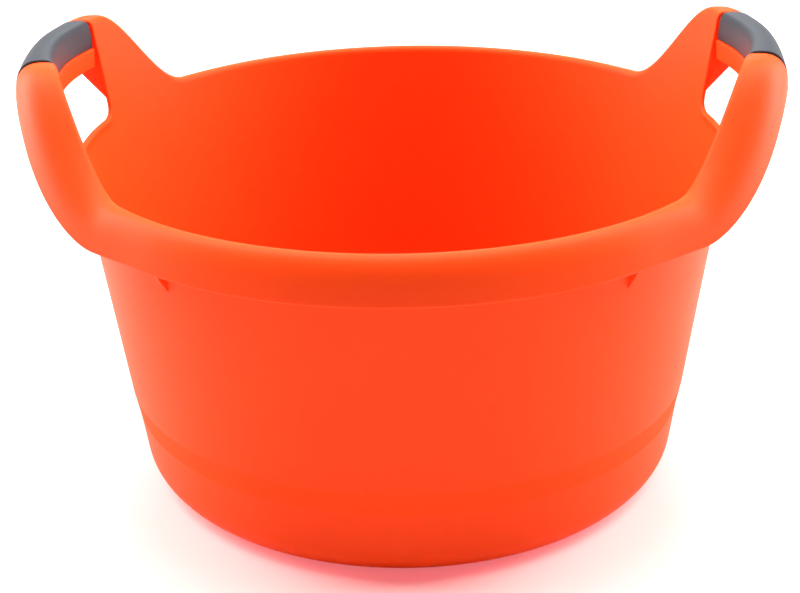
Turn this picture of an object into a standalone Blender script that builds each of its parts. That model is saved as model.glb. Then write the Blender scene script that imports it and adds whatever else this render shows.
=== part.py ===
"""Round wash basin with a turned-down rim and two raised handles with soft grips.

Metres, +Z up. The basin stands on z = 0 with its axis on Z. The handles lie on +X and -X.
Run it with: blender --background --python part.py
"""

import math

import bmesh
import bpy
import numpy as np
from mathutils import Euler, Matrix, Vector

# Wall of the moulding, and the gap left between the tub and its grips
WALL = 0.0026
GAP = 0.0003

# Inside of the tub: radius of its tapered wall at the height of the rim, and the wall's draft in degrees
MOUTH_RADIUS = 0.2012
RIM_HEIGHT = 0.2214
WALL_DRAFT = 7.44

# Band above which the wall steps out a little, and the corner between wall and floor
BAND_TOP = 0.0648
BAND_HEIGHT = 0.0155
BAND_STEP = 0.0009
FLOOR_CORNER_RADIUS = 0.0215

# Foot: the flat ring that the basin stands on, inside which the floor is raised
FOOT_WIDTH = 0.0094
FOOT_LIFT = 0.0020
FOOT_STEP_RUN = 0.0030

# Rim, away from the handles
RIM_WIDTH = 0.0136
RIM_INNER_RUN = 0.0036
RIM_INNER_DROP = 0.0040
RIM_OUTER_DROP = 0.0095
RIM_SIDE_DROP = 0.0030
SKIRT_DEPTH = 0.0264
SKIRT_FLARE = 0.0008

# Handles: the rim rises and widens into strands, which carry a bar
HANDLE_RISE = 0.0612
HANDLE_WIDTH = 0.0272
HANDLE_INNER_RUN = 0.0084
HANDLE_INNER_DROP = 0.0115
HANDLE_OUTER_DROP = 0.0184
HANDLE_SKIRT_DEPTH = 0.0229
HANDLE_FLARE = 0.0008

# Degrees past the end of the bar between which the handle's form eases into the rim's
CREST_EASE = (3.3, 25.2)
WIDTH_EASE = (8.4, 34.2)
SKIRT_EASE = (-5.1, 24.4)
TURN_EASE = (4.6, 24.2)
QUARTER = 90.0

# Bar between the strands: its face is set back from theirs, and bows out and up in its middle
BAR_HALF_LENGTH = 0.0500
BAR_SETBACK = 0.0022
BAR_BOW = 0.0034
BAR_ARCH = 0.0010
BAR_FOOT_DROP = 0.0124
SHOULDER_RUN = 0.0004

# Grip round the bar, and the ledges that its edges stop at
GRIP_THICKNESS = 0.0029
GRIP_SIDE_DROP = 0.0075
LEDGE_RISE = 0.0005
STRIP_PROUD = 0.0006
OUTER_LEDGE = 0.0035

# Hand hole, from below the rim's height up to below the bar's skirt, with the draft of its sides in degrees
HOLE_DROP = 0.0054
STRIP_DROP = 0.0042
HOLE_ARCH = 0.0065
HOLE_CORNER = 0.0080
HOLE_SIDE_DRAFT = 1.74

# Rounded lip along the bottom of the hand hole
LIP_RADIUS = 0.0021
LIP_SINK = 0.0003
LIP_END = 0.0020
LIP_END_SHARE = 0.5

# Webs that close the strands at the ends of the hand hole
WEB_RISE = 0.0133
WEB_HEM = 0.0033
WEB_THICKNESS = 0.0024
WEB_TRIM = 0.0006

# Gussets between the wall and the skirt, placed in degrees past the end of the handle's form
GUSSET_TURN = 1.4
GUSSET_DEPTH = 0.0200
GUSSET_RISE = 0.0060
GUSSET_HEIGHT = 0.0110
GUSSET_THICKNESS = 0.0022

# How far a cutter runs past what it cuts, and how close points are that are one point
OVERRUN = 0.0200
WELD = 0.00005

# Facets
FLOOR_CORNER_STEPS = 4
COLLAR_STEPS = 3
INNER_STEPS = 3
OUTER_STEPS = 4
STRAND_SECTIONS = 12
RIM_SECTIONS = 7
BAR_SECTION_SHARES = (0.0, 0.28, 0.55, 0.8)
HOLE_CORNER_STEPS = 4
HOLE_ARCH_STEPS = 8
LIP_STEPS = 12
LIP_FACETS = 2
CREASE = 35.0

# Materials: linear colour and roughness
ORANGE = (1.0, 0.085, 0.012)
ORANGE_ROUGHNESS = 0.3
GREY = (0.13, 0.135, 0.145)
GREY_ROUGHNESS = 0.6


def ease(angle, span):
    """1 up to the span's first angle, 0 from its last one on, and half a cosine wave between them."""
    share = min(max((angle - span[0]) / (span[1] - span[0]), 0.0), 1.0)
    return (1.0 + math.cos(math.pi * share)) / 2


def blend(first, last, share):
    """The first value at share 0, the last at share 1."""
    return first + (last - first) * share


def cone_radius(height):
    """Inside radius of the tapered wall, and of its run up into the handles, at a height."""
    return MOUTH_RADIUS + (height - RIM_HEIGHT) * math.tan(math.radians(WALL_DRAFT))


def on_cone(angle, height):
    """Point on the inside of the tapered wall."""
    way = math.radians(angle)
    return cone_radius(height) * Vector((math.cos(way), math.sin(way), 0.0)) + Vector((0.0, 0.0, height))


def handle_skirt_height():
    """Height of the skirt's lower edge along the bar."""
    return RIM_HEIGHT + HANDLE_RISE - HANDLE_SKIRT_DEPTH


def bar_radius():
    """Inside radius at the height where the rounding of the handles starts."""
    return cone_radius(RIM_HEIGHT + HANDLE_RISE - HANDLE_INNER_DROP)


def angle_on_bar(y):
    """Angle of the bar's section at a distance from the middle of the bar."""
    return math.degrees(math.asin(y / bar_radius()))


def shoulder_angle():
    """Angle of the shoulders, where the strands end and the bar begins."""
    return angle_on_bar(BAR_HALF_LENGTH)


def form_at(angle):
    """Sizes of the rim's or handle's section at an angle from the middle of a handle."""
    past = angle - shoulder_angle()
    rise = ease(past, CREST_EASE)
    arch = BAR_ARCH * ease(past, (-shoulder_angle(), 0.0))
    skirt = blend(RIM_HEIGHT - SKIRT_DEPTH, handle_skirt_height(), ease(past, SKIRT_EASE))
    form = {
        "crest": RIM_HEIGHT + HANDLE_RISE * rise + arch,
        "width": blend(RIM_WIDTH, HANDLE_WIDTH, ease(past, WIDTH_EASE)),
        "inner_run": blend(RIM_INNER_RUN, HANDLE_INNER_RUN, rise),
        "inner_drop": blend(RIM_INNER_DROP, HANDLE_INNER_DROP, rise),
        "outer_drop": blend(RIM_OUTER_DROP, HANDLE_OUTER_DROP, rise),
        "side_drop": blend(RIM_SIDE_DROP, GRIP_SIDE_DROP, rise),
        "skirt": skirt,
        "flare": blend(SKIRT_FLARE, HANDLE_FLARE, rise),
    }
    form["crown_start"] = form["crest"] - form["inner_drop"]
    form["edge"] = form["crown_start"] - form["side_drop"]
    return form


def outward_at(angle):
    """Level direction that a section opens in: straight out on the bar, and radial on the rim."""
    way = math.radians(angle) * (1.0 - ease(angle - shoulder_angle(), TURN_EASE))
    return Vector((math.cos(way), math.sin(way), 0.0))


def bar_face(y):
    """How far out the inner face of the bar lies."""
    strand = math.sqrt(bar_radius() ** 2 - BAR_HALF_LENGTH ** 2)
    return strand + BAR_SETBACK + BAR_BOW * (1.0 - (y / BAR_HALF_LENGTH) ** 2)


def inner_face(angle, height, on_bar):
    """Point on the inner face of a strand or the rim, or of the bar, which leaves the cone above the tub."""
    point = on_cone(angle, height)
    if on_bar:
        foot = RIM_HEIGHT - BAR_FOOT_DROP
        share = min(max((height - foot) / (form_at(angle)["edge"] - foot), 0.0), 1.0)
        y = bar_radius() * math.sin(math.radians(angle))
        point.x = blend(point.x, bar_face(y), share)
        point.y = blend(point.y, y, share)
    return point


def crown(angle, sunk, on_bar):
    """Points over the rim, strand or bar, sunk below its skin: a quarter ellipse up and another one down."""
    form = form_at(angle)
    start = inner_face(angle, form["crown_start"], on_bar)
    outward = outward_at(angle)
    outer_run = form["width"] - form["inner_run"]
    if on_bar:
        outer_run -= BAR_SETBACK
    points = []
    for step in range(INNER_STEPS + 1):
        turn = math.pi / 2 * step / INNER_STEPS
        out = form["inner_run"] - (form["inner_run"] - sunk) * math.cos(turn)
        high = (form["inner_drop"] - sunk) * math.sin(turn)
        points.append(start + outward * out + Vector((0.0, 0.0, high)))
    for step in range(1, OUTER_STEPS + 1):
        turn = math.pi / 2 * step / OUTER_STEPS
        out = form["inner_run"] + (outer_run - sunk) * math.sin(turn)
        high = form["inner_drop"] - form["outer_drop"] + (form["outer_drop"] - sunk) * math.cos(turn)
        points.append(start + outward * out + Vector((0.0, 0.0, high)))
    return points


def skirt_point(angle, crown_end, height, depth):
    """Point on the skirt, which flares a little on its way down, moved outward by a depth."""
    form = form_at(angle)
    share = (crown_end.z - height) / (crown_end.z - form["skirt"])
    point = crown_end + outward_at(angle) * (depth + form["flare"] * share)
    point.z = height
    return point


def tub_profile():
    """Radius and height along the floor and the lower wall, from the raised floor up to the top of the band."""
    lean = math.radians(WALL_DRAFT)
    corner_top = WALL + FLOOR_CORNER_RADIUS * (1.0 - math.sin(lean))
    centre = cone_radius(corner_top) - BAND_STEP - FLOOR_CORNER_RADIUS * math.cos(lean)
    foot_inside = centre - FOOT_WIDTH
    profile = [(foot_inside - FOOT_STEP_RUN, WALL + FOOT_LIFT), (foot_inside, WALL)]
    for step in range(FLOOR_CORNER_STEPS + 1):
        turn = (math.pi / 2 - lean) * step / FLOOR_CORNER_STEPS
        across = FLOOR_CORNER_RADIUS * math.sin(turn)
        rise = FLOOR_CORNER_RADIUS * (1.0 - math.cos(turn))
        profile.append((centre + across, WALL + rise))
    band_bottom = BAND_TOP - BAND_HEIGHT
    profile.append((cone_radius(band_bottom) - BAND_STEP, band_bottom))
    profile.append((cone_radius(BAND_TOP), BAND_TOP))
    return profile


def tub_section(angle, sunk, on_bar):
    """The tub's upper skin along one section, from the raised floor out to the lower edge of the skirt."""
    way = math.radians(angle)
    points = [Vector((r * math.cos(way), r * math.sin(way), z)) for r, z in tub_profile()]
    form = form_at(angle)
    outward = outward_at(angle)
    proud = STRIP_PROUD if on_bar else 0.0
    for step in range(COLLAR_STEPS + 1):
        share = step / COLLAR_STEPS
        height = blend(RIM_HEIGHT - BAR_FOOT_DROP, form["edge"], share)
        points.append(inner_face(angle, height, on_bar) - outward * proud * share)
    points.append(inner_face(angle, form["edge"] + LEDGE_RISE, on_bar) + outward * sunk)
    points.extend(crown(angle, sunk, on_bar))
    crown_end = points[-1]
    ledge = form["skirt"] + OUTER_LEDGE
    points.append(skirt_point(angle, crown_end, ledge + LEDGE_RISE, 0.0))
    points.append(skirt_point(angle, crown_end, ledge, sunk))
    points.append(skirt_point(angle, crown_end, form["skirt"], sunk))
    return points


def grip_side(angle, sunk):
    """One side of the grip's wall along a section, from its inner lower edge over the bar to its outer one."""
    form = form_at(angle)
    low = inner_face(angle, form["edge"] + LEDGE_RISE + GAP, True) + outward_at(angle) * sunk
    points = [low, *crown(angle, sunk, True)]
    points.append(skirt_point(angle, points[-1], form["skirt"] + OUTER_LEDGE + LEDGE_RISE + GAP, 0.0))
    return points


def bar_angles():
    """Angles of the sections that the bar and the grip have in common, from the middle of the bar on."""
    return [shoulder_angle() * share for share in BAR_SECTION_SHARES]


def tub_sections():
    """Sections over a quarter of the tub, closest together where the form changes."""
    recess = GRIP_THICKNESS + GAP
    bar = [*bar_angles(), angle_on_bar(BAR_HALF_LENGTH - SHOULDER_RUN)]
    strand_end = shoulder_angle() + WIDTH_EASE[1]
    strand = np.linspace(shoulder_angle(), strand_end, STRAND_SECTIONS)
    rim = np.linspace(strand_end, QUARTER, RIM_SECTIONS)[1:]
    sections = [tub_section(angle, recess, True) for angle in bar]
    sections += [tub_section(angle, 0.0, False) for angle in [*strand, *rim]]
    return sections


def grid_faces(columns, rows, first):
    """Quads of a grid whose points run row by row in each column."""
    faces = []
    for column in range(columns - 1):
        for row in range(rows - 1):
            corner = first + column * rows + row
            faces.append((corner, corner + 1, corner + rows + 1, corner + rows))
    return faces


def mesh_object(name, points, faces, collection):
    """An object made from points and faces."""
    mesh = bpy.data.meshes.new(name)
    mesh.from_pydata([tuple(point) for point in points], [], faces)
    mesh.update()
    item = bpy.data.objects.new(name, mesh)
    collection.objects.link(item)
    return item


def add_mirror(item, across_x, across_y):
    """Mirror a half or a quarter about the planes that it is open at."""
    mirror = item.modifiers.new("mirror", "MIRROR")
    mirror.use_axis = (across_x, across_y, False)
    mirror.use_mirror_merge = True
    mirror.merge_threshold = WELD


def add_wall(item, thickness):
    """Give a skin its thickness, on the side that its faces turn away from."""
    wall = item.modifiers.new("wall", "SOLIDIFY")
    wall.thickness = thickness
    wall.offset = -1.0
    wall.use_even_offset = True
    wall.use_rim = True


def add_boolean(item, other, operation):
    """Join another object to this one or cut it away."""
    step = item.modifiers.new(other.name, "BOOLEAN")
    step.operation = operation
    step.solver = "EXACT"
    step.object = other


def weld(mesh):
    """Join the points that lie in one place, and turn the faces outward."""
    shape = bmesh.new()
    shape.from_mesh(mesh)
    bmesh.ops.remove_doubles(shape, verts=shape.verts, dist=WELD)
    bmesh.ops.recalc_face_normals(shape, faces=shape.faces)
    shape.to_mesh(mesh)
    shape.free()


def as_cutter(name, curve, placement, collection):
    """A closed mesh made from a curve and placed, hidden because it only cuts or joins another object."""
    source = bpy.data.objects.new(name, curve)
    bpy.context.scene.collection.objects.link(source)
    bpy.context.view_layer.update()
    evaluated = source.evaluated_get(bpy.context.evaluated_depsgraph_get())
    mesh = bpy.data.meshes.new_from_object(evaluated)
    bpy.data.objects.remove(source)
    weld(mesh)
    mesh.transform(placement)
    item = bpy.data.objects.new(name, mesh)
    collection.objects.link(item)
    item.hide_render = True
    item.display_type = "WIRE"
    return item


def prism(name, outline, half_depth, placement, collection):
    """A flat outline in x and y, extruded to either side by half its depth and placed."""
    curve = bpy.data.curves.new(name, "CURVE")
    curve.dimensions = "2D"
    curve.fill_mode = "BOTH"
    curve.extrude = half_depth
    spline = curve.splines.new("POLY")
    spline.points.add(len(outline) - 1)
    for point, (x, y) in zip(spline.points, outline):
        point.co = (x, y, 0.0, 1.0)
    spline.use_cyclic_u = True
    return as_cutter(name, curve, placement, collection)


def rounded(before, corner, after, radius):
    """Arc that rounds a corner between two straight runs."""
    before, corner, after = Vector(before), Vector(corner), Vector(after)
    first = (before - corner).normalized()
    last = (after - corner).normalized()
    half = first.angle(last) / 2
    centre = corner + (first + last).normalized() * radius / math.sin(half)
    start = corner + first * radius / math.tan(half) - centre
    turn = start.angle_signed(corner + last * radius / math.tan(half) - centre)
    arc = []
    for step in range(HOLE_CORNER_STEPS + 1):
        arc.append(tuple(centre + Matrix.Rotation(-turn * step / HOLE_CORNER_STEPS, 2) @ start))
    return arc


def hole_heights():
    """Height of the hand hole's bottom, and of its top at its sides."""
    return RIM_HEIGHT - HOLE_DROP, handle_skirt_height() - STRIP_DROP - HOLE_ARCH


def hole_bottom_half():
    """Half the length of the hand hole's bottom; its top is as long as the bar."""
    bottom, top = hole_heights()
    return BAR_HALF_LENGTH - (top - bottom) * math.tan(math.radians(HOLE_SIDE_DRAFT))


def hole_outline():
    """The hand hole in y and z: sides that lean out, an arched top and rounded corners."""
    bottom, top = hole_heights()
    arch = []
    for step in range(HOLE_ARCH_STEPS + 1):
        share = 1.0 - 2.0 * step / HOLE_ARCH_STEPS
        arch.append((BAR_HALF_LENGTH * share, top + HOLE_ARCH * (1.0 - share ** 2)))
    right, left = (hole_bottom_half(), bottom), (-hole_bottom_half(), bottom)
    outline = rounded(left, right, arch[0], HOLE_CORNER)
    outline += rounded(right, arch[0], arch[1], HOLE_CORNER)
    outline += arch[1:-1]
    outline += rounded(arch[-2], arch[-1], left, HOLE_CORNER)
    outline += rounded(arch[-1], left, right, HOLE_CORNER)
    return outline


def build_hand_hole(collection):
    """One cutter through both handles, along X."""
    half_depth = bar_face(0.0) + HANDLE_WIDTH + OVERRUN
    placement = Euler((math.pi / 2, 0.0, math.pi / 2)).to_matrix().to_4x4()
    return prism("hand_hole", hole_outline(), half_depth, placement, collection)


def build_webs(collection):
    """Plates that close the strands at the ends of the hand holes, which trim them to their own lean."""
    lean = math.radians(HOLE_SIDE_DRAFT)
    angle = shoulder_angle()
    bottom = hole_heights()[0]
    skin = crown(angle, WALL / 2, False)
    foot = inner_face(angle, bottom + WEB_RISE, False) + outward_at(angle) * WALL / 2
    hem = skirt_point(angle, skin[-1], handle_skirt_height() + WEB_HEM, 0.0)
    outline = [(point.x, (point.z - bottom) / math.cos(lean)) for point in [foot, *skin, hem]]
    middle = hole_bottom_half() + (WEB_THICKNESS - WEB_TRIM) / 2
    turned = Euler((math.pi / 2 - lean, 0.0, 0.0)).to_matrix().to_4x4()
    placement = Matrix.Translation((0.0, middle, bottom)) @ turned
    webs = prism("webs", outline, (WEB_THICKNESS + WEB_TRIM) / 2, placement, collection)
    add_mirror(webs, True, True)
    return webs


def build_gussets(collection):
    """Upright plates between the wall and the skirt, whose lower edges slope up to the skirt."""
    hem = RIM_HEIGHT - SKIRT_DEPTH
    bottom, top = hem - GUSSET_DEPTH, hem + GUSSET_HEIGHT
    skirt = cone_radius(RIM_HEIGHT - RIM_INNER_DROP) + RIM_WIDTH - WALL / 2
    wall_bottom, wall_top = cone_radius(bottom) + WALL / 2, cone_radius(top) + WALL / 2
    outline = [(wall_bottom, bottom), (skirt, hem + GUSSET_RISE), (skirt, top), (wall_top, top)]
    turn = math.radians(shoulder_angle() + WIDTH_EASE[1] + GUSSET_TURN)
    placement = Euler((math.pi / 2, 0.0, turn)).to_matrix().to_4x4()
    gussets = prism("gussets", outline, GUSSET_THICKNESS / 2, placement, collection)
    add_mirror(gussets, True, True)
    return gussets


def build_lips(collection):
    """Round lips along the bottoms of the hand holes, thinned at their ends so that they run out in the wall."""
    height = hole_heights()[0] - LIP_SINK
    radius = cone_radius(height) + WALL / 2
    reach = math.asin((hole_bottom_half() + LIP_END) / radius)
    curve = bpy.data.curves.new("lips", "CURVE")
    curve.dimensions = "3D"
    curve.bevel_depth = LIP_RADIUS
    curve.bevel_resolution = LIP_FACETS
    curve.use_fill_caps = True
    spline = curve.splines.new("POLY")
    spline.points.add(LIP_STEPS)
    for step, point in enumerate(spline.points):
        way = blend(-reach, reach, step / LIP_STEPS)
        point.co = (radius * math.cos(way), radius * math.sin(way), height, 1.0)
        point.radius = LIP_END_SHARE if step in (0, LIP_STEPS) else 1.0
    lips = as_cutter("lips", curve, Matrix.Identity(4), collection)
    add_mirror(lips, True, False)
    return lips


def build_tub(collection, cutters):
    """The moulding: a quarter of its skin, mirrored twice, thickened, then joined and cut."""
    sections = tub_sections()
    rows = len(sections[0])
    points = [Vector((0.0, 0.0, WALL + FOOT_LIFT))]
    for section in sections:
        points.extend(section)
    faces = grid_faces(len(sections), rows, 1)
    for column in range(len(sections) - 1):
        faces.append((0, 1 + column * rows, 1 + (column + 1) * rows))
    tub = mesh_object("tub", points, faces, collection)
    add_mirror(tub, True, True)
    add_wall(tub, WALL)
    add_boolean(tub, build_webs(cutters), "UNION")
    add_boolean(tub, build_gussets(cutters), "UNION")
    add_boolean(tub, build_hand_hole(cutters), "DIFFERENCE")
    add_boolean(tub, build_lips(cutters), "UNION")
    return tub


def build_grip(name, turn, collection):
    """A soft sleeve, open below, over the top and both sides of a bar: a loft of closed sections, mirrored."""
    end = angle_on_bar(BAR_HALF_LENGTH - SHOULDER_RUN - GAP)
    points = []
    for angle in [*bar_angles(), end]:
        outside = grip_side(angle, 0.0)
        inside = grip_side(angle, GRIP_THICKNESS)
        points += [*outside, *reversed(inside), outside[0]]
    rows = 2 * len(outside) + 1
    columns = len(points) // rows
    faces = grid_faces(columns, rows, 0)
    last = len(points) - rows
    for row in range(len(outside) - 1):
        far = last + 2 * len(outside) - 1 - row
        faces.append((last + row, last + row + 1, far - 1, far))
    grip = mesh_object(name, points, faces, collection)
    weld(grip.data)
    add_mirror(grip, False, True)
    grip.rotation_euler = (0.0, 0.0, turn)
    return grip


def plastic(name, colour, roughness):
    """A plain material of one colour."""
    material = bpy.data.materials.new(name)
    material.use_nodes = True
    shader = material.node_tree.nodes["Principled BSDF"]
    shader.inputs["Base Color"].default_value = (*colour, 1.0)
    shader.inputs["Roughness"].default_value = roughness
    shader.inputs["Metallic"].default_value = 0.0
    return material


def finish(item, material):
    """Give a piece its material, and smooth shading but for its sharp edges."""
    item.data.materials.append(material)
    item.data.shade_smooth()
    item.data.set_sharp_from_angle(angle=math.radians(CREASE))


def main():
    for item in list(bpy.data.objects):
        bpy.data.objects.remove(item, do_unlink=True)
    basin = bpy.data.collections.new("basin")
    cutters = bpy.data.collections.new("cutters")
    bpy.context.scene.collection.children.link(basin)
    bpy.context.scene.collection.children.link(cutters)
    finish(build_tub(basin, cutters), plastic("orange_polypropylene", ORANGE, ORANGE_ROUGHNESS))
    for name, turn in (("grip_right", 0.0), ("grip_left", math.pi)):
        rubber = plastic(f"grey_rubber_{name}", GREY, GREY_ROUGHNESS)
        finish(build_grip(name, turn, basin), rubber)


main()
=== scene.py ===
"""Round wash basin: orange polypropylene with a turned-down rim, and raised handles with grey soft grips.

Metres, +Z up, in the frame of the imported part: the basin stands on z = 0, with its axis on Z and its handles
on X.
"""

import math

import bmesh
import bpy
import numpy as np
from mathutils import Matrix, Vector


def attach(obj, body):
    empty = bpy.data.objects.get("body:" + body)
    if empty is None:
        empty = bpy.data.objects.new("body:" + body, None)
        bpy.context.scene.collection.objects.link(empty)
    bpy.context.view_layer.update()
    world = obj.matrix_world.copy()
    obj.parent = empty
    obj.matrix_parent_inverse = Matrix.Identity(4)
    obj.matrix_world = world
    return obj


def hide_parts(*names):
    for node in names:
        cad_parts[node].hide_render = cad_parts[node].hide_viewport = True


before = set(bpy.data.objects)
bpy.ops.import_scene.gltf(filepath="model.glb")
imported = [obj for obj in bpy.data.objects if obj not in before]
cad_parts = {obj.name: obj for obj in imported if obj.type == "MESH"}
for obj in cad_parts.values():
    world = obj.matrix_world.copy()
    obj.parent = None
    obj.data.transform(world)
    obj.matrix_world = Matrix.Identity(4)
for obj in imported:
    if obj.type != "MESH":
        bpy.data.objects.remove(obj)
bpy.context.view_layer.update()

# ---- Sizes of the basin, in metres and degrees ----

# Thickness of the moulding, and the gap between it and the grips
WALL = 0.0026
GAP = 0.0003

# Tapered wall: its inside radius at the height of the rim, and its draft
MOUTH_RADIUS = 0.2012
RIM_HEIGHT = 0.2214
WALL_DRAFT = 7.44

# Band over which the wall steps out a little, and the corner between the wall and the floor
BAND_TOP = 0.0648
BAND_HEIGHT = 0.0155
BAND_STEP = 0.0009
FLOOR_CORNER_RADIUS = 0.0215

# Foot: the flat ring that the basin stands on, inside which the floor is raised
FOOT_WIDTH = 0.0094
FOOT_LIFT = 0.0020
FOOT_STEP_RUN = 0.0030

# Rim away from the handles: its reach past the wall, its inner curve, and its skirt, which leans outward
RIM_WIDTH = 0.0136
RIM_INNER_RUN = 0.0036
RIM_INNER_DROP = 0.0040
SKIRT_DEPTH = 0.0264
SKIRT_FLARE = 0.0008
SKIRT_LEAN = 5.0

# Handles: the rim rises and widens into strands, which carry a bar
HANDLE_RISE = 0.0612
HANDLE_WIDTH = 0.0272
HANDLE_INNER_RUN = 0.0084
HANDLE_INNER_DROP = 0.0115
HANDLE_SKIRT_DEPTH = 0.0229

# Share of the height over the hem in which the outer side curves, and how square curves are: 2 is an ellipse
RIM_CURVED = 0.66
RIM_SQUARENESS = 2.1
HANDLE_CURVED = 0.80
HANDLE_SQUARENESS = 2.6
HANDLE_INNER_SQUARENESS = 3.4

# Degrees past the end of the bar between which the handle's form eases into the rim's
CREST_EASE = (3.3, 25.2)
WIDTH_EASE = (8.4, 34.2)
SKIRT_EASE = (-1.5, 24.4)
TURN_EASE = (4.6, 24.2)
QUARTER = 90.0

# Bar between the strands: set back from their inner faces, bowed outward and arched up in its middle
BAR_HALF_LENGTH = 0.0500
BAR_SETBACK = 0.0016
BAR_BOW = 0.0084
BAR_OUTER_BOW = 0.0032
BAR_ARCH = 0.0010
BAR_END = 0.0012

# Strip of the bar that shows below the grip: its level lower edge and the round there, its lean, and how far
# its top stands out
STRIP_DROP = 0.0088
STRIP_ROUND = 0.0010
STRIP_LEAN = 1.5
STRIP_PROUD = 0.0006

# Grip round the bar, the ledges that its edges stop at, and the rounds of its edges, the ledges and the hem
GRIP_THICKNESS = 0.0029
GRIP_SIDE_DROP = 0.0075
GRIP_END_GAP = 0.0004
GRIP_ROUND = 0.0007
LEDGE_RISE = 0.0005
LEDGE_ROUND = 0.0004
OUTER_LEDGE = 0.0035
HEM_ROUND = 0.0008

# Hand hole: its lower edge below the rim, its corners, and its sides, which lean by a turn about the axis
HOLE_DROP = 0.0036
HOLE_CORNER = 0.0080
HOLE_TURN = 0.2
HOLE_TURN_SPAN = (0.2490, 0.2710)

# Lip round the hand hole: a bead that fades into the wall, and that ends on the way round the hole's corner
LIP_RADIUS = 0.0021
LIP_FADE = 0.0030
LIP_TURN = (8.0, 62.0)

# Webs that close the strands at the ends of the hand hole
WEB_FOOT = 0.2269
WEB_HEM = 0.0033
WEB_THICKNESS = 0.0024
WEB_ROUND = 0.0011

# Gussets between the wall and the skirt
GUSSET_TURN = 1.4
GUSSET_DEPTH = 0.0200
GUSSET_RISE = 0.0060
GUSSET_HEIGHT = 0.0110
GUSSET_THICKNESS = 0.0022
GUSSET_ROUND = 0.0004

# ---- Rows and columns of the grids, and how they run ----

HOLE_COLUMNS = 14
STRAND_COLUMNS = 37
RIM_COLUMNS = 21
FLOOR_ROWS = 7
FOOT_STEP_ROWS = 8
CORNER_ROWS = 14
WALL_ROWS = 28
UPPER_ROWS = 18
SKIRT_ROWS = 6
CROWN_STEPS = (12, 18)
BAR_CROWN_STEPS = (9, 12)
BAR_COLUMNS = 29
GRIP_COLUMNS = 33
WEB_EDGE_ROWS = 10
ROUND_STEPS = 4

# Places of rows, as shares of the way up to the band, of the band and of the strip
TO_BAND_SHARES = np.array([0.35, 0.7, 0.97])
BAND_SHARES = np.array([0.0, 0.03, 0.5, 0.97, 1.0])
STRIP_SHARES = (0.0, 0.35, 0.7, 1.0)
WALL_CROWDING = 0.9

# Turns of a round at a free edge, and the distances from the hand hole's edge over its lip and past it
EDGE_TURNS = np.radians([0.0, 14.0, 28.0, 42.0, 56.0, 72.0, 90.0])
HEM_TURNS = np.radians([90.0, 70.0, 52.0, 35.0, 18.0, 0.0])
GRIP_TURNS = np.radians([0.0, 25.0, 50.0, 72.0, 90.0])
PLATE_TURNS = np.radians([0.0, 30.0, 60.0, 90.0])
PAST_LIP = LIP_RADIUS + LIP_FADE * np.array([0.35, 0.7, 1.0])
EDGE_STEPS = np.concatenate([LIP_RADIUS * (1.0 - np.cos(EDGE_TURNS)), PAST_LIP])

# How far the hand hole's corner and its sides' lean reach into the wall round it
CORNER_REACH = 0.0250
SIDE_REACH = 0.0300

# Height, away from the hand hole, of the wall's row that meets the hole's lower edge, and where it gets there
LOW_ROW = 0.2050
LOW_ROW_EASE = (6.0, 24.0)

# Points this close are welded, a normal this short has no direction, and a place this far is clear of edges
WELD = 0.000002
FLAT = 1e-14
FAR = 1.0


# ---- Form of the basin ----


def ease(value, span):
    """1 before the span's first value, 0 past its last one, and half a cosine wave between them."""
    share = np.clip((value - span[0]) / (span[1] - span[0]), 0.0, 1.0)
    return (1.0 + np.cos(np.pi * share)) / 2


def blend(first, last, share):
    """The first value at share 0, the last at share 1."""
    return first + (last - first) * share


def between(count):
    """That many shares, evenly spread between 0 and 1 without them."""
    return np.linspace(0.0, 1.0, count + 2)[1:-1]


def point(x, y, z):
    """Arrays of x, y and z, spread to one shape, as an array of points."""
    return np.stack(np.broadcast_arrays(x, y, z), axis=-1).astype(float)


def section_point(x, z):
    """Arrays of x and z, spread to one shape, as an array of points of an upright section."""
    return np.stack(np.broadcast_arrays(x, z), axis=-1)


def cone_radius(height):
    """Inside radius of the tapered wall at a height: the mouth's, less the draft's slope times the drop."""
    return MOUTH_RADIUS + (height - RIM_HEIGHT) * math.tan(math.radians(WALL_DRAFT))


def on_cone(angle, height):
    """Points inside the tapered wall: its radius at that height, turned by the angle."""
    way = np.radians(angle)
    radius = cone_radius(height)
    return point(radius * np.cos(way), radius * np.sin(way), height)


# Where the bar's ends meet the wall: the radius, the angle from the handle's middle, and how far out it is
BAR_RADIUS = cone_radius(RIM_HEIGHT + HANDLE_RISE - HANDLE_INNER_DROP)
SHOULDER = math.degrees(math.asin(BAR_HALF_LENGTH / BAR_RADIUS))
STRAND_FACE = math.sqrt(BAR_RADIUS ** 2 - BAR_HALF_LENGTH ** 2)

# Heights of the handle's hem, the strip's lower edge and the hand hole's lower edge, and the skirt's slope
HANDLE_SKIRT = RIM_HEIGHT + HANDLE_RISE - HANDLE_SKIRT_DEPTH
STRIP_HEM = HANDLE_SKIRT - STRIP_DROP
HOLE_LOW = RIM_HEIGHT - HOLE_DROP
LEAN = math.tan(math.radians(SKIRT_LEAN))

# Radius on which arcs along the wall are measured, and the arc to the centre of the hand hole's corner
SIDE_RADIUS = cone_radius(HOLE_LOW)
CORNER_MIDDLE = math.radians(SHOULDER + HOLE_TURN) * SIDE_RADIUS - HOLE_CORNER


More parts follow.
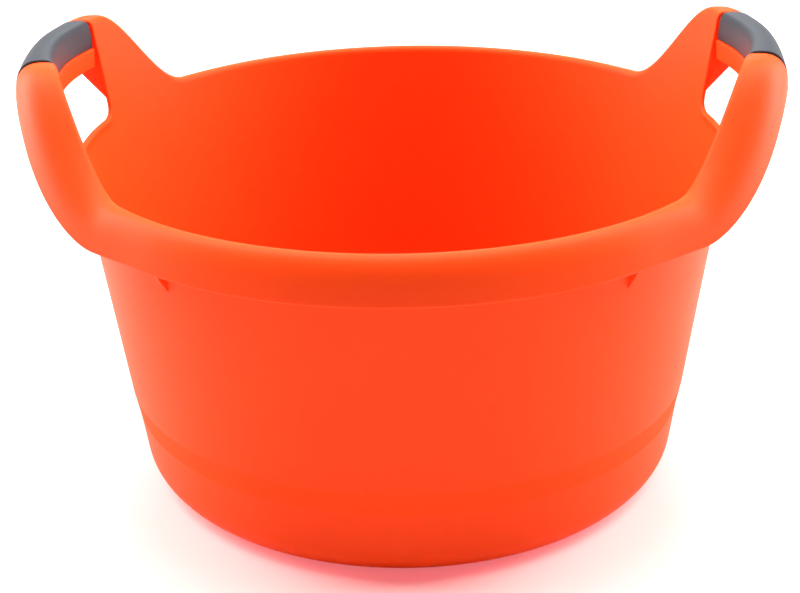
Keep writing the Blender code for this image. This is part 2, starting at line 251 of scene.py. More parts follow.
def form_at(angle):
    """Sizes of the section at an angle from a handle's middle, each eased from the handle's to the rim's.

    The powers are those of the sines and cosines in the crown's superellipses.
    """
    past = np.asarray(angle, float) - SHOULDER
    rise = ease(past, CREST_EASE)
    arch = BAR_ARCH * ease(past, (-SHOULDER, 0.0))
    form = {
        "crest": RIM_HEIGHT + HANDLE_RISE * rise + arch,
        "inner_run": blend(RIM_INNER_RUN, HANDLE_INNER_RUN, rise),
        "inner_drop": blend(RIM_INNER_DROP, HANDLE_INNER_DROP, rise),
        "skirt": blend(RIM_HEIGHT - SKIRT_DEPTH, HANDLE_SKIRT, ease(past, SKIRT_EASE)),
        "power": 2.0 / blend(RIM_SQUARENESS, HANDLE_SQUARENESS, rise),
        "inner_power": 2.0 / blend(RIM_SQUARENESS, HANDLE_INNER_SQUARENESS, rise),
    }
    over_hem = form["crest"] - form["skirt"]
    hem_width = blend(RIM_WIDTH, HANDLE_WIDTH, ease(past, WIDTH_EASE)) + SKIRT_FLARE
    form["start"] = form["crest"] - form["inner_drop"]
    form["outer_drop"] = over_hem * blend(RIM_CURVED, HANDLE_CURVED, rise)
    form["width"] = hem_width - over_hem * LEAN
    return form


def outward_at(angle):
    """Level direction that a section opens in: straight out on the bar, turning to radial on the rim."""
    angle = np.asarray(angle, float)
    way = np.radians(angle) * (1.0 - ease(angle - SHOULDER, TURN_EASE))
    return point(np.cos(way), np.sin(way), 0.0)


# ---- Meshes ----


def mesh_piece(name, parts, material):
    """A piece from (points, faces) parts: their points are put in one list, welded and turned outward."""
    offsets = np.cumsum([0] + [len(points) for points, _ in parts])
    points = np.concatenate([points for points, _ in parts])
    faces = np.concatenate([faces + offset for (_, faces), offset in zip(parts, offsets)])
    used, faces = np.unique(faces, return_inverse=True)
    mesh = bpy.data.meshes.new(name)
    mesh.from_pydata(points[used].tolist(), [], faces.reshape(-1, 4).tolist())
    shape = bmesh.new()
    shape.from_mesh(mesh)
    bmesh.ops.remove_doubles(shape, verts=shape.verts, dist=WELD)
    bmesh.ops.dissolve_degenerate(shape, edges=shape.edges, dist=WELD)
    bmesh.ops.recalc_face_normals(shape, faces=shape.faces)
    shape.to_mesh(mesh)
    shape.free()
    mesh.shade_smooth()
    piece = bpy.data.objects.new(name, mesh)
    bpy.context.scene.collection.objects.link(piece)
    piece.data.materials.append(material)
    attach(piece, "root")
    return piece


def grid_faces(columns, rows, shown=None):
    """Quads between the points of a grid numbered column by column, or those of them that are shown."""
    corner = np.arange(columns - 1)[:, None] * rows + np.arange(rows - 1)[None, :]
    if shown is not None:
        corner = corner[shown]
    corner = corner.reshape(-1)
    return np.stack([corner, corner + 1, corner + rows + 1, corner + rows], axis=1)


def grid_normals(points):
    """Unit normals of a grid: the cross product of its differences along rows and along columns."""
    normals = np.cross(np.gradient(points, axis=1), np.gradient(points, axis=0))
    length = np.linalg.norm(normals, axis=-1, keepdims=True)
    flat = length < FLAT
    normals = normals / np.where(flat, 1.0, length)
    return np.where(flat, np.array([0.0, 0.0, 1.0]), normals)


def mirrored(points, faces, signs):
    """A copy mirrored in the axes whose sign is -1, with its faces turned round where that is inside out."""
    turned = faces if np.prod(signs) > 0 else faces[:, ::-1]
    return points * np.array(signs), turned


def four_ways(points, faces):
    """The part and its copies mirrored in X, in Y and in both."""
    ways = [(1, 1, 1), (-1, 1, 1), (1, -1, 1), (-1, -1, 1)]
    return [mirrored(points, faces, signs) for signs in ways]


# ---- Shell: floor, wall, rim and strands as one closed sheet ----


def floor_profile():
    """Radius and height of the upper skin, from the raised floor's middle over the foot to the band's top.

    The floor's step is half a cosine wave, the corner is an arc that ends in line with the draft, and the
    band is a straight slope from the narrower lower wall to the upper one.
    """
    lean = math.radians(WALL_DRAFT)
    corner_top = WALL + FLOOR_CORNER_RADIUS * (1.0 - math.sin(lean))
    corner_edge = cone_radius(corner_top) - BAND_STEP
    centre = corner_edge - FLOOR_CORNER_RADIUS * math.cos(lean)
    flat = centre - FOOT_WIDTH - FOOT_STEP_RUN
    band_bottom = BAND_TOP - BAND_HEIGHT
    under_band = cone_radius(band_bottom) - BAND_STEP
    step = np.linspace(0.0, 1.0, FOOT_STEP_ROWS)
    turn = np.linspace(0.0, math.pi / 2 - lean, CORNER_ROWS)
    runs = [
        (np.linspace(0.0, flat, FLOOR_ROWS + 1)[:-1], np.full(FLOOR_ROWS, WALL + FOOT_LIFT)),
        (flat + FOOT_STEP_RUN * step, WALL + FOOT_LIFT * ease(step, (0.0, 1.0))),
        (np.array([centre - FOOT_WIDTH / 2]), np.array([WALL])),
        (centre + FLOOR_CORNER_RADIUS * np.sin(turn), WALL + FLOOR_CORNER_RADIUS * (1.0 - np.cos(turn))),
        (blend(corner_edge, under_band, TO_BAND_SHARES), blend(corner_top, band_bottom, TO_BAND_SHARES)),
        (blend(under_band, cone_radius(BAND_TOP), BAND_SHARES), blend(band_bottom, BAND_TOP, BAND_SHARES)),
    ]
    return np.concatenate([radius for radius, _ in runs]), np.concatenate([height for _, height in runs])


def shell_columns():
    """Angles of the sheet's columns over a quarter of the basin, and how many lie within the hand hole."""
    hole = np.linspace(0.0, SHOULDER, HOLE_COLUMNS + 1)[:-1]
    edge = SHOULDER + np.degrees(EDGE_STEPS / SIDE_RADIUS)
    rim_start = SHOULDER + WIDTH_EASE[1]
    strand = np.linspace(edge[-1], rim_start, STRAND_COLUMNS + 1)[1:]
    rim = np.linspace(rim_start, QUARTER, RIM_COLUMNS + 1)[1:]
    return np.concatenate([hole, edge, strand, rim]), len(hole)


def wall_rows(angles, start):
    """Heights of the wall's rows at each column, from the band to the crown's start.

    They are close together at the row that meets the hand hole's lower edge, whose heights are given too.
    """
    low = blend(LOW_ROW, HOLE_LOW, ease(angles - SHOULDER, LOW_ROW_EASE))[:, None]
    heights = [
        blend(BAND_TOP, low - EDGE_STEPS[-1], between(WALL_ROWS) ** WALL_CROWDING),
        low - EDGE_STEPS[::-1],
        blend(low, start, between(UPPER_ROWS)),
    ]
    return np.concatenate(heights, axis=1), low


def skirt_rows(end, hem):
    """Heights of the skirt's rows, from the crown's end to the hem, close together over its round edge."""
    steps = WALL / 2 * (1.0 - np.cos(HEM_TURNS))
    down = end - (end - hem - steps[0]) * between(SKIRT_ROWS)
    return np.concatenate([down, hem + steps], axis=1)


def round_corner(across, height):
    """Places on the wall moved so that rows and columns run round the hand hole's corner.

    Within the corner's quadrant a square ring round its centre becomes an arc of the same radius.
    The move fades out past the hole's edge.
    """
    right = across - CORNER_MIDDLE
    down = HOLE_LOW + HOLE_CORNER - height
    inside = (right > 0) & (down > 0)
    ring = np.where(inside, np.maximum(right, down), 1.0)
    share = np.where(down >= right, right / ring, 2.0 - down / ring)
    turn = np.where(inside, share * math.pi / 4, 0.0)
    edge = HOLE_CORNER + EDGE_STEPS[-1]
    weight = np.where(inside, ease(ring, (edge, edge + CORNER_REACH)), 0.0)
    moved = across + weight * (ring * np.sin(turn) - right)
    lowered = height + weight * (down - ring * np.cos(turn))
    return moved, lowered


def lean_side(angle, height):
    """Angles turned a little further low on the hand hole's sides, which lean by that.

    The turn grows evenly from the handle's middle to the hole's side, and fades evenly past it.
    """
    past = np.radians(angle - SHOULDER) * SIDE_RADIUS / SIDE_REACH
    near = np.where(past < 0, angle / SHOULDER, 1.0 - np.clip(past, 0.0, 1.0))
    return angle + HOLE_TURN * near * ease(height, HOLE_TURN_SPAN)


def crown_points(start, angle, sunk, width_less=0.0, steps=CROWN_STEPS):
    """Points over the rim or strand: from the start a quarter oval up and out, and another one out and down.

    The ovals are superellipses, and are made smaller where the crown is sunk. The first leaves the wall in
    line with its draft, and the second leans out by a share of its way down.
    """
    form = {key: value[:, None] for key, value in form_at(angle).items()}
    outward = outward_at(angle)[:, None, :]
    way = np.radians(angle)
    radial = point(np.cos(way), np.sin(way), 0.0)[:, None, :]
    up = np.array([0.0, 0.0, 1.0])

    turn = np.linspace(0.0, math.pi / 2, steps[0] + 1)[None, :]
    share = np.sin(turn) ** form["inner_power"]
    flat = np.maximum(np.cos(turn), 0.0) ** form["inner_power"]
    out = form["inner_run"] - (form["inner_run"] - sunk) * flat
    high = (form["inner_drop"] - sunk) * share
    draft = math.tan(math.radians(WALL_DRAFT)) * form["inner_drop"] * share * (1.0 - share)
    inner = start[:, None, :] + outward * out[..., None] + up * high[..., None] + radial * draft[..., None]

    turn = np.linspace(0.0, math.pi / 2, steps[1] + 1)[None, 1:]
    drop = (form["outer_drop"] - sunk) * (1.0 - np.maximum(np.cos(turn), 0.0) ** form["power"])
    reach = form["width"] - width_less - form["inner_run"] - sunk
    out = form["inner_run"] + reach * np.sin(turn) ** form["power"] + LEAN * drop
    high = form["inner_drop"] - sunk - drop
    outer = start[:, None, :] + outward * out[..., None] + up * high[..., None]
    return np.concatenate([inner, outer], axis=1)


def skirt_points(crown_end, angle, heights):
    """Points down the skirt at given heights: under the crown's end, moved out by a share of the way down."""
    out = LEAN * (crown_end[:, None, 2] - heights)
    points = crown_end[:, None, :] + outward_at(angle)[:, None, :] * out[..., None]
    points[..., 2] = heights
    return points


def edge_round(distance, radius, half):
    """Half thickness near a free edge: a half circle of that radius, scaled to the half, then the half."""
    circle = np.sqrt(np.maximum(radius ** 2 - (radius - distance) ** 2, 0.0))
    return np.where(distance < radius, circle * half / radius, half)


def lip_round(distance):
    """Half thickness of the lip: a half circle of its radius that fades into the wall behind it."""
    bead = edge_round(distance, LIP_RADIUS, LIP_RADIUS)
    fade = ease(distance, (LIP_RADIUS, LIP_RADIUS + LIP_FADE))
    return np.where(distance < LIP_RADIUS, bead, blend(WALL / 2, LIP_RADIUS, fade))


def shell_grid():
    """The upper skin over a quarter of the basin, its half thickness, and the hand hole's column and row.

    Columns stand side by side along the rim, and rows run over the floor, up the wall, over the crown and
    down the skirt. The half thickness closes in a round at the hem and at the hand hole, where a lip runs
    along the lower edge and into the corner.
    """
    angles, side_column = shell_columns()
    form = form_at(angles)
    way = np.radians(angles)[:, None]
    radius, height = floor_profile()
    floor = point(radius * np.cos(way), radius * np.sin(way), height)

    heights, low = wall_rows(angles, form["start"][:, None])
    leant = lean_side(angles[:, None], heights)
    moved, lowered = round_corner(np.radians(leant) * SIDE_RADIUS, heights)
    wall = on_cone(np.degrees(moved / SIDE_RADIUS), lowered)

    start = on_cone(lean_side(angles, form["start"]), form["start"])
    crown = crown_points(start, angles, 0.0)
    hem = form["skirt"][:, None]
    skirt_heights = skirt_rows(crown[:, -1, 2:], hem)
    skirt = skirt_points(crown[:, -1], angles, skirt_heights)
    points = np.concatenate([floor, wall, crown, skirt], axis=1)

    size = points.shape[:2]
    on_wall = slice(floor.shape[1], floor.shape[1] + heights.shape[1])
    beside = np.broadcast_to(np.radians(angles - SHOULDER)[:, None] * SIDE_RADIUS, size)
    below = np.full(size, -FAR)
    below[:, : floor.shape[1]] = FAR
    below[:, on_wall] = low - heights
    to_hole = np.maximum(np.maximum(beside, below), 0.0)
    to_hem = np.full(size, FAR)
    to_hem[:, -skirt_heights.shape[1] :] = np.maximum(skirt_heights - hem, 0.0)

    right = np.radians(leant) * SIDE_RADIUS - CORNER_MIDDLE
    down = HOLE_LOW + HOLE_CORNER - heights
    turn = np.degrees(np.arctan2(np.maximum(right, 0.0), np.maximum(down, 0.0)))
    lip = np.zeros(size)
    lip[:, on_wall] = ease(turn, LIP_TURN) * (beside[:, on_wall] < CORNER_REACH)

    half = blend(edge_round(to_hole, WALL / 2, WALL / 2), lip_round(to_hole), lip)
    half = half * edge_round(to_hem, WALL / 2, 1.0)
    edge_row = floor.shape[1] + WALL_ROWS + len(EDGE_STEPS) - 1
    return points, half, side_column, edge_row


def shell_parts():
    """Both skins of the sheet, and the middle of the sheet along the hand hole's side.

    Each skin lies half the thickness either side of the sheet's middle, so they meet at its free edges. In
    the two planes of symmetry the normals stay in the plane.
    """
    points, half, side_column, edge_row = shell_grid()
    normals = grid_normals(points)
    normals[0, :, 1] = 0.0
    normals[-1, :, 0] = 0.0
    normals /= np.linalg.norm(normals, axis=-1, keepdims=True)
    middle = points - normals * WALL / 2
    upper = middle + normals * half[..., None]
    lower = middle - normals * half[..., None]
    columns, rows = points.shape[:2]
    shown = np.ones((columns - 1, rows - 1), bool)
    shown[:side_column, edge_row:] = False
    faces = grid_faces(columns, rows, shown)
    parts = four_ways(upper.reshape(-1, 3), faces) + four_ways(lower.reshape(-1, 3), faces[:, ::-1])
    return parts, middle[side_column]


# ---- Bars, grips, webs and gussets ----


def soften(path, radii):
    """A closed path whose corners are rounded by parabolas that start and end one radius from each corner."""
    runs = []
    count = path.shape[-2]
    share = np.linspace(0.0, 1.0, ROUND_STEPS + 1)[:, None]
    for index, radius in enumerate(radii):
        corner = path[..., index, :]
        if radius == 0.0:
            runs.append(corner[..., None, :])
            continue
        before = path[..., (index - 1) % count, :] - corner
        after = path[..., (index + 1) % count, :] - corner
        first = corner + before * radius / np.linalg.norm(before, axis=-1, keepdims=True)
        last = corner + after * radius / np.linalg.norm(after, axis=-1, keepdims=True)
        run = (1 - share) ** 2 * first[..., None, :] + 2 * share * (1 - share) * corner[..., None, :]
        runs.append(run + share ** 2 * last[..., None, :])
    return np.concatenate(runs, axis=-2)


def along_bar(end, count):
    """Places along the bar, closest at its ends: a sine wave's values at even steps."""
    return end * np.sin(np.linspace(-math.pi / 2, math.pi / 2, count))


def bar_angle(y):
    """Angle of a place along the bar, on the circle through the bar's ends."""
    return np.degrees(np.arcsin(y / BAR_RADIUS))


def bowed(y):
    """Share of the bow at a place along the bar: a parabola, 1 in the bar's middle and 0 at its ends."""
    return 1.0 - (y / BAR_HALF_LENGTH) ** 2


def bar_face(y, height):
    """How far out the bar's inner face lies: set back, bowed, and leaning out below the grip's edge."""
    edge = form_at(bar_angle(y))["start"] - GRIP_SIDE_DROP
    lean = np.maximum(edge - height, 0.0) * math.tan(math.radians(STRIP_LEAN))
    return STRAND_FACE + BAR_SETBACK + BAR_BOW * bowed(y) + lean


def crown_section(y, sunk):
    """The crown over the bar in x and z at each y, sunk below the grip's outside."""
    angle = bar_angle(y)
    start_height = form_at(angle)["start"]
    start = point(bar_face(y, start_height), y, start_height)
    width_less = BAR_SETBACK + (BAR_BOW - BAR_OUTER_BOW) * bowed(y)
    crown = crown_points(start, angle, sunk, width_less[:, None], BAR_CROWN_STEPS)
    return crown[..., [0, 2]]


def end_caps(columns, rows, half):
    """Quads that close both ends of a channel: each joins a stretch of its outside to the one inside it."""
    row = np.arange(half - 1)
    caps = []
    for first in (0, (columns - 1) * rows):
        far = first + rows - 1 - row
        caps.append(np.stack([first + row, first + row + 1, far - 1, far], axis=1))
    return np.concatenate(caps)


def channel(outside, inside, ys):
    """A closed body between an outside and an inside path with as many points, carried along y."""
    columns, half = outside.shape[:2]
    section = np.concatenate([outside, inside[:, ::-1]], axis=1)
    rows = section.shape[1]
    points = point(section[..., 0], ys[:, None], section[..., 1])
    last = np.arange(columns - 1) * rows
    seam = np.stack([last + rows - 1, last, last + rows, last + 2 * rows - 1], axis=1)
    faces = [grid_faces(columns, rows), seam, end_caps(columns, rows, half)]
    return points.reshape(-1, 3), np.concatenate(faces)


def resample(path, count):
    """The same path with that many points, evenly spread over its own numbering."""
    place = np.linspace(0.0, path.shape[1] - 1.0, count)
    low = np.minimum(place.astype(int), path.shape[1] - 2)
    return blend(path[:, low], path[:, low + 1], (place - low)[:, None])


def bar_parts():
    """The bar: a channel that is open below, with the crown in it sunk by the grip's thickness.

    Its outside runs up the strip to the inner ledge, over the crown to the outer ledge, and down to the hem.
    Its inside lies a wall's thickness behind that. Of the round at the strip's lower edge only the upper half
    is kept, so that the edge stays crisp.
    """
    ys = along_bar(BAR_HALF_LENGTH + BAR_END, BAR_COLUMNS)
    near = np.clip(ys, -BAR_HALF_LENGTH, BAR_HALF_LENGTH)
    form = form_at(bar_angle(near))
    recess = GRIP_THICKNESS + GAP
    edge = form["start"] - GRIP_SIDE_DROP
    ledge = form["skirt"] + OUTER_LEDGE
    crown = crown_section(near, recess)
    under = crown_section(near, recess + WALL)
    end = crown[:, -1]

    def strip(height, depth):
        """The strip at a height: the bar's face plus the depth, less the share by which it stands out."""
        share = (height - STRIP_HEM) / (edge - STRIP_HEM)
        return section_point(bar_face(near, height) + depth - STRIP_PROUD * share, height)

    def outer(height, out):
        """The outer side at a height: under the crown's end, leaning out, and moved out by a distance."""
        return section_point(end[:, 0] + LEAN * (end[:, 1] - height) + out, height)

    head = [strip(blend(STRIP_HEM, edge, share), 0.0) for share in STRIP_SHARES]
    head.append(section_point(crown[:, 0, 0], edge + LEDGE_RISE))
    head = soften(np.stack(head, axis=1), [STRIP_ROUND, 0.0, 0.0, LEDGE_ROUND, 0.0])
    tail = [
        outer(ledge + LEDGE_RISE, 0.0),
        outer(ledge, recess),
        outer(form["skirt"], recess),
        outer(form["skirt"], recess - WALL),
    ]
    tail = soften(np.stack(tail, axis=1), [0.0, LEDGE_ROUND, HEM_ROUND, HEM_ROUND])
    outside = np.concatenate([head[:, ROUND_STEPS // 2 :], crown, tail], axis=1)
    back = np.stack([strip(STRIP_HEM, WALL), strip(edge, WALL)], axis=1)
    inside = resample(np.concatenate([back, under], axis=1), outside.shape[1])
    return channel(outside, inside, ys)


def grip_parts():
    """The soft sleeve: from its lower inner edge over the crown to its lower outer edge, with round edges."""
    end = BAR_HALF_LENGTH - GRIP_END_GAP - GAP
    rounding = GRIP_ROUND * (1.0 - np.cos(GRIP_TURNS))
    tail = end - GRIP_ROUND + GRIP_ROUND * np.sin(GRIP_TURNS)
    middle = along_bar(end - GRIP_ROUND, GRIP_COLUMNS)[1:-1]
    ys = np.concatenate([-tail[::-1], middle, tail])
    sunk = np.concatenate([rounding[::-1], np.zeros(len(middle)), rounding])
    form = form_at(bar_angle(ys))
    low = form["start"] - GRIP_SIDE_DROP + LEDGE_RISE + GAP
    far = form["skirt"] + OUTER_LEDGE + LEDGE_RISE + GAP

    def side(depth):
        """The sleeve's skin at a depth: straight up to the crown, over it, and straight down outside."""
        crown = crown_section(ys, depth[:, None])
        first = np.stack([bar_face(ys, low) + depth, low], axis=-1)[:, None]
        inner = blend(first, crown[:, :1], np.array([0.0, 0.5])[:, None])
        outer_z = blend(crown[:, -1:, 1], far[:, None], np.array([0.5, 1.0]))
        outer_x = crown[:, -1:, 0] + LEAN * (crown[:, -1:, 1] - outer_z)
        return np.concatenate([inner, crown, section_point(outer_x, outer_z)], axis=1)

    outside = side(sunk)
    inside = side(np.full(len(ys), GRIP_THICKNESS))
    radii = [GRIP_ROUND] + [0.0] * (outside.shape[1] - 2) + [GRIP_ROUND]
    section = soften(np.concatenate([outside, inside[:, ::-1]], axis=1), radii + radii)
    half = section.shape[1] // 2
    return channel(section[:, :half], section[:, half:][:, ::-1], ys)


def plate_parts(outline, across, radius):
    """A plate: an outline carried across its thickness, with round edges, and closed by fans from its middle.

    Over each edge the outline is drawn in along its normals by a quarter circle of the radius.
    """
    centre = outline.mean(axis=0)
    outward = np.cross(np.roll(outline, -1, axis=0) - np.roll(outline, 1, axis=0), across)
    outward /= np.linalg.norm(outward, axis=1, keepdims=True)
    if np.sum(outward * (outline - centre)) < 0:
        outward = -outward
    inset = radius * (1.0 - np.sin(PLATE_TURNS))
    depth = radius * (1.0 - np.cos(PLATE_TURNS)) / np.linalg.norm(across)
    inset = np.concatenate([inset, inset[::-1]])[:, None, None]
    depth = np.concatenate([depth, 1.0 - depth[::-1]])[:, None, None]
    middle = np.broadcast_to(centre, (1, *outline.shape))
    rings = np.concatenate([middle, outline - outward * inset + across * depth, middle + across])
    rings = np.concatenate([rings, rings[:, :1]], axis=1)
    return rings.reshape(-1, 3), grid_faces(*rings.shape[:2])


def web_outline(side):
    """Outline of a web: the middle of the strand's sheet from the web's foot over the crown to near a hem."""
    rows = side[side[:, 2] > WEB_FOOT]
    top = int(np.argmax(rows[:, 2]))
    keep = np.ones(len(rows), bool)
    keep[top:] = rows[top:, 2] > HANDLE_SKIRT + WEB_HEM
    rows = rows[keep]
    free = blend(rows[-1], rows[0], between(WEB_EDGE_ROWS)[:, None])
    return np.concatenate([rows, free])


def gusset_parts():
    """A gusset: a plate with four corners, upright in a plane through the axis, just past the handle."""
    hem = RIM_HEIGHT - SKIRT_DEPTH
    bottom, top = hem - GUSSET_DEPTH, hem + GUSSET_HEIGHT
    skirt = cone_radius(RIM_HEIGHT - RIM_INNER_DROP) + RIM_WIDTH - WALL / 2
    radius = np.array([cone_radius(bottom) + WALL / 2, skirt, skirt, cone_radius(top) + WALL / 2])
    height = np.array([bottom, hem + GUSSET_RISE, top, top])
    way = math.radians(SHOULDER + WIDTH_EASE[1] + GUSSET_TURN)
    across = GUSSET_THICKNESS * np.array([-math.sin(way), math.cos(way), 0.0])
    outline = point(radius * math.cos(way), radius * math.sin(way), height)
    return plate_parts(outline - across / 2, across, GUSSET_ROUND)


# ---- Materials ----

# Real sizes of the patterns: the plastic's flow marks and dimples, the rubber's grain and clouds, and the
# height of their bumps
FLOW_MARK = 0.045
SKIN_DIMPLE = 0.0011
RUBBER_GRAIN = 0.0006
RUBBER_CLOUD = 0.012
BUMP_HEIGHT = 0.0001

# How rough the plastic's band is, and how deep light gets into the plastic
BAND_ROUGHNESS = 0.75
LIGHT_DEPTH = 0.004

# Painted red glow on the floor by the foot, standing in for light that the thin plastic lets through: where it
# fades, from the axis, and its strength
PAINTED_GLOW_SPAN = (0.166, 0.200)
PAINTED_GLOW_STRENGTH = 0.6

# How much the floor is lifted for the camera, and the strength of the world's fill light
FLOOR_LIFT = 0.1
WORLD_FILL = 0.03


def linear(code):
    """An sRGB hex code as linear red, green, blue and alpha."""
    values = [int(code[i : i + 2], 16) / 255 for i in (1, 3, 5)]
    return (*[v / 12.92 if v <= 0.04045 else ((v + 0.055) / 1.055) ** 2.4 for v in values], 1.0)


def new_material(name):
    """A new material, and the Principled shader that it starts with."""
    material = bpy.data.materials.new(name)
    material.use_nodes = True
    return material, material.node_tree.nodes["Principled BSDF"]


def node(owner, kind, settings=(), inputs=(), links=()):
    """Adds a node to a material or world: its settings, its input values, and links from (node, output)."""
    added = owner.node_tree.nodes.new(kind)
    for key, value in settings:
        setattr(added, key, value)
    for key, value in inputs:
        added.inputs[key].default_value = value
    for key, source, output in links:
        owner.node_tree.links.new(source.outputs[output], added.inputs[key])
    return added


def set_shader(owner, shader, values, links):
    """Sets the inputs of a shader that is there already, and its links from (node, output)."""
    for key, value in values:
        shader.inputs[key].default_value = value
    for key, source, output in links:
        owner.node_tree.links.new(source.outputs[output], shader.inputs[key])


def moulded_polypropylene():
    """Injection-moulded polypropylene: a soft satin gloss, and a faint warm light inside it.

    Its flow leaves wide marks that barely change colour and gloss, its skin has dimples of about a millimetre
    like orange peel, and its band is etched matt.
    """
    material, shader = new_material("moulded_polypropylene")
    place = node(material, "ShaderNodeTexCoord")
    vector = [("Vector", place, "Object")]
    flow = node(material, "ShaderNodeTexNoise", (), [("Scale", 1 / FLOW_MARK), ("Detail", 2.0)], vector)
    colours = [("A", linear("#ff4a14")), ("B", linear("#ff4d16"))]
    tint = node(material, "ShaderNodeMix", [("data_type", "RGBA")], colours, [("Factor", flow, "Fac")])
    skin = node(material, "ShaderNodeTexNoise", (), [("Scale", 1 / SKIN_DIMPLE), ("Detail", 1.0)], vector)
    relief = [("Strength", 0.06), ("Distance", BUMP_HEIGHT)]
    bump = node(material, "ShaderNodeBump", (), relief, [("Height", skin, "Fac")])
    span = [("To Min", 0.46), ("To Max", 0.52)]
    satin = node(material, "ShaderNodeMapRange", (), span, [("Value", flow, "Fac")])
    axes = node(material, "ShaderNodeSeparateXYZ", links=vector)
    reach = [(1, BAND_TOP - BAND_HEIGHT / 2), (2, BAND_HEIGHT / 2)]
    band = node(material, "ShaderNodeMath", [("operation", "COMPARE")], reach, [(0, axes, "Z")])
    choice = [("Factor", band, "Value"), ("A", satin, "Result")]
    rough = node(material, "ShaderNodeMix", (), [("B", BAND_ROUGHNESS)], choice)
    set_shader(
        material,
        shader,
        [
            ("IOR", 1.49),
            ("Specular IOR Level", 0.1),
            ("Subsurface Weight", 0.15),
            ("Subsurface Radius", (1.0, 0.2, 0.08)),
            ("Subsurface Scale", LIGHT_DEPTH),
        ],
        [("Base Color", tint, "Result"), ("Roughness", rough, "Result"), ("Normal", bump, "Normal")],
    )
    return material


def soft_rubber():
    """Overmoulded thermoplastic rubber: slate grey with a dull sheen, faint clouds and spark-eroded grain."""
    material, shader = new_material("soft_rubber")
    place = node(material, "ShaderNodeTexCoord")
    vector = [("Vector", place, "Object")]
    grain = node(material, "ShaderNodeTexNoise", (), [("Scale", 1 / RUBBER_GRAIN), ("Detail", 2.0)], vector)
    cloud = node(material, "ShaderNodeTexNoise", (), [("Scale", 1 / RUBBER_CLOUD), ("Detail", 2.0)], vector)
    colours = [("A", linear("#33373c")), ("B", linear("#383c42"))]
    tint = node(material, "ShaderNodeMix", [("data_type", "RGBA")], colours, [("Factor", cloud, "Fac")])
    relief = [("Strength", 0.25), ("Distance", BUMP_HEIGHT)]
    bump = node(material, "ShaderNodeBump", (), relief, [("Height", grain, "Fac")])
    set_shader(
        material,
        shader,
        [("Roughness", 0.4), ("IOR", 1.5), ("Specular IOR Level", 0.12)],
        [("Base Color", tint, "Result"), ("Normal", bump, "Normal")],
    )
    return material


def studio_floor():
    """Satin white paper with a rosy cast: it keeps the shadow and the orange bounced light.

    It is lifted a little where the camera sees it. Close to the foot it has a painted red glow, seen by the
    camera alone, that stands in for light that has come through the thin plastic.
    """
    material, shader = new_material("white_paper")
    seen = node(material, "ShaderNodeLightPath")
    times = [("operation", "MULTIPLY")]
    lift = node(material, "ShaderNodeMath", times, [(1, FLOOR_LIFT)], [(0, seen, "Is Camera Ray")])
    white = node(material, "ShaderNodeEmission", links=[("Strength", lift, "Value")])
    lifted = node(material, "ShaderNodeAddShader", links=[(0, shader, "BSDF"), (1, white, "Emission")])
    # Painted red glow close to the foot: an emission for camera rays alone, fading with the distance from the
    # axis
    place = node(material, "ShaderNodeTexCoord")
    length = [("operation", "LENGTH")]
    distance = node(material, "ShaderNodeVectorMath", length, links=[("Vector", place, "Object")])
    smooth = [("interpolation_type", "SMOOTHSTEP")]
    near, far = PAINTED_GLOW_SPAN
    span = [("From Min", near), ("From Max", far), ("To Min", PAINTED_GLOW_STRENGTH), ("To Max", 0.0)]
    fade = node(material, "ShaderNodeMapRange", smooth, span, [("Value", distance, "Value")])
    shown = node(material, "ShaderNodeMath", times, (), [(0, fade, "Result"), (1, seen, "Is Camera Ray")])
    red = [("Color", linear("#ff4a58"))]
    painted_glow = node(material, "ShaderNodeEmission", (), red, [("Strength", shown, "Value")])
    both = node(material, "ShaderNodeAddShader", links=[(0, lifted, "Shader"), (1, painted_glow, "Emission")])
    values = [("Base Color", linear("#f0dcd7")), ("Roughness", 0.4), ("Specular IOR Level", 0.5)]
    set_shader(material, shader, values, [])
    set_shader(material, material.node_tree.nodes["Material Output"], [], [("Surface", both, "Shader")])
    return material


# ---- Pieces ----

SIDES = (("right", 1), ("left", -1))
ENDS = (("front", -1), ("back", 1))

polypropylene = moulded_polypropylene()
rubber = soft_rubber()

shell, hole_side = shell_parts()
tub = mesh_piece("basin_shell", shell, polypropylene)
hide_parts("tub")

bar_points, bar_faces = bar_parts()
grip_points, grip_faces = grip_parts()
web_points, web_faces = plate_parts(web_outline(hole_side), np.array([0.0, WEB_THICKNESS, 0.0]), WEB_ROUND)
for side, sign in SIDES:
    mesh_piece(f"bar_{side}", [mirrored(bar_points, bar_faces, (sign, 1, 1))], polypropylene)
    grip = mesh_piece(f"soft_grip_{side}", [mirrored(grip_points, grip_faces, (sign, 1, 1))], rubber)
    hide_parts(f"grip_{side}")
    for end, way in ENDS:
        web = mirrored(web_points, web_faces, (sign, way, 1))
        mesh_piece(f"web_{side}_{end}", [web], polypropylene)

gusset_points, gusset_faces = gusset_parts()
for side, sign in SIDES:
    for end, way in ENDS:
        gusset = mirrored(gusset_points, gusset_faces, (sign, way, 1))
        mesh_piece(f"gusset_{side}_{end}", [gusset], polypropylene)


# ---- Floor, light and camera ----

FLOOR_HALF = 6.0

# Softboxes: the point that they aim at, their width, and their distances from it
AIM = (0.0, 0.0, 0.12)
LAMP_WIDTH = 1.2
TOP_HEIGHT = 2.2
TOP_WATTS = 34.0
BACK_PLACE = (180.0, 40.0)
BACK_DISTANCE = 2.4
BACK_WATTS = 14.0
SIDE_DISTANCE = 2.2

# Pairs of softboxes beside the basin: degrees from the camera's side, degrees up, and watts
SIDE_BOXES = ((108.0, 12.0, 44.0), (104.0, 40.0, 30.0), (106.0, 62.0, 30.0))

# Camera as fitted to the photograph: distance and height from the basin's axis, tilt, roll and heading
IMAGE_WIDTH = 800
IMAGE_HEIGHT = 593
FOCAL_PIXELS = 1560.0
SENSOR = 36.0
CAMERA_DISTANCE = 0.9448
CAMERA_HEIGHT = 0.5292
PITCH_DOWN = 24.13
ROLL = 1.311
HEADING = -0.206
BASIN_TURN = -1.912
MIDDLE_PIXEL = (400.9, 296.7)


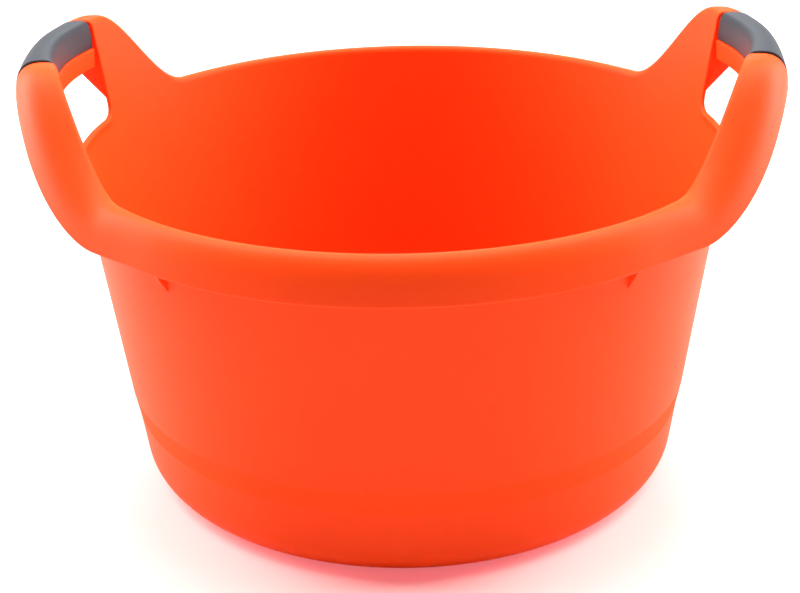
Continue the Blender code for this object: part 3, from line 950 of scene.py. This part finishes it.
def softbox(name, place, watts):
    """A square area lamp at a place, turned to the aim."""
    lamp = bpy.data.lights.new(name, "AREA")
    lamp.shape = "SQUARE"
    lamp.size = LAMP_WIDTH
    lamp.energy = watts
    item = bpy.data.objects.new(name, lamp)
    item.location = place
    item.rotation_euler = (Vector(AIM) - Vector(place)).to_track_quat("-Z", "Y").to_euler()
    bpy.context.scene.collection.objects.link(item)


def around(turn, rise, distance):
    """A place at a distance from the aim, turned about Z from the camera's side and raised, in degrees."""
    turn, rise = math.radians(turn), math.radians(rise)
    level = distance * math.cos(rise)
    return (level * math.sin(turn), -level * math.cos(turn), AIM[2] + distance * math.sin(rise))


def studio_world():
    """White where the camera, reflections and clear materials see it, and a faint fill light for the rest."""
    world = bpy.data.worlds.new("studio")
    world.use_nodes = True
    path = node(world, "ShaderNodeLightPath")
    either = [("operation", "MAXIMUM")]
    rays = [(0, path, "Is Camera Ray"), (1, path, "Is Glossy Ray")]
    seen = node(world, "ShaderNodeMath", either, (), rays)
    rays = [(0, seen, "Value"), (1, path, "Is Transmission Ray")]
    seen = node(world, "ShaderNodeMath", either, (), rays)
    span = [("To Min", WORLD_FILL), ("To Max", 1.0)]
    strength = node(world, "ShaderNodeMapRange", (), span, [("Value", seen, "Value")])
    background = world.node_tree.nodes["Background"]
    set_shader(world, background, [("Color", linear("#ffffff"))], [("Strength", strength, "Result")])
    return world


mesh = bpy.data.meshes.new("floor")
corners = [(x * FLOOR_HALF, y * FLOOR_HALF, 0.0) for x, y in ((-1, -1), (1, -1), (1, 1), (-1, 1))]
mesh.from_pydata(corners, [], [(0, 1, 2, 3)])
floor = bpy.data.objects.new("floor", mesh)
bpy.context.scene.collection.objects.link(floor)
floor.data.materials.append(studio_floor())

bpy.context.scene.world = studio_world()
softbox("softbox_top", (0.0, 0.0, TOP_HEIGHT), TOP_WATTS)
softbox("softbox_back", around(*BACK_PLACE, BACK_DISTANCE), BACK_WATTS)
for turn, rise, watts in SIDE_BOXES:
    for side, sign in SIDES:
        softbox(f"softbox_{side}_{turn:.0f}_{rise:.0f}", around(sign * turn, rise, SIDE_DISTANCE), watts)

pitch, roll, heading = (math.radians(v) for v in (PITCH_DOWN, ROLL, HEADING))
forward = Vector((math.sin(heading) * math.cos(pitch), math.cos(heading) * math.cos(pitch), -math.sin(pitch)))
level = Vector((math.cos(heading), -math.sin(heading), 0.0))
above = level.cross(forward)
right = level * math.cos(roll) - above * math.sin(roll)
up = level * math.sin(roll) + above * math.cos(roll)
axes = Matrix((right, up, -forward)).transposed().to_4x4()
place = Matrix.Translation((0.0, -CAMERA_DISTANCE, CAMERA_HEIGHT))
lens = bpy.data.cameras.new("camera")
lens.sensor_width = SENSOR
lens.lens = FOCAL_PIXELS * SENSOR / IMAGE_WIDTH
lens.shift_x = (IMAGE_WIDTH / 2 - MIDDLE_PIXEL[0]) / IMAGE_WIDTH
lens.shift_y = (MIDDLE_PIXEL[1] - IMAGE_HEIGHT / 2) / IMAGE_WIDTH
camera = bpy.data.objects.new("camera", lens)
bpy.context.scene.collection.objects.link(camera)
camera.matrix_world = Matrix.Rotation(math.radians(-BASIN_TURN), 4, "Z") @ place @ axes
bpy.context.scene.camera = camera
bpy.context.scene.view_settings.view_transform = "Standard"
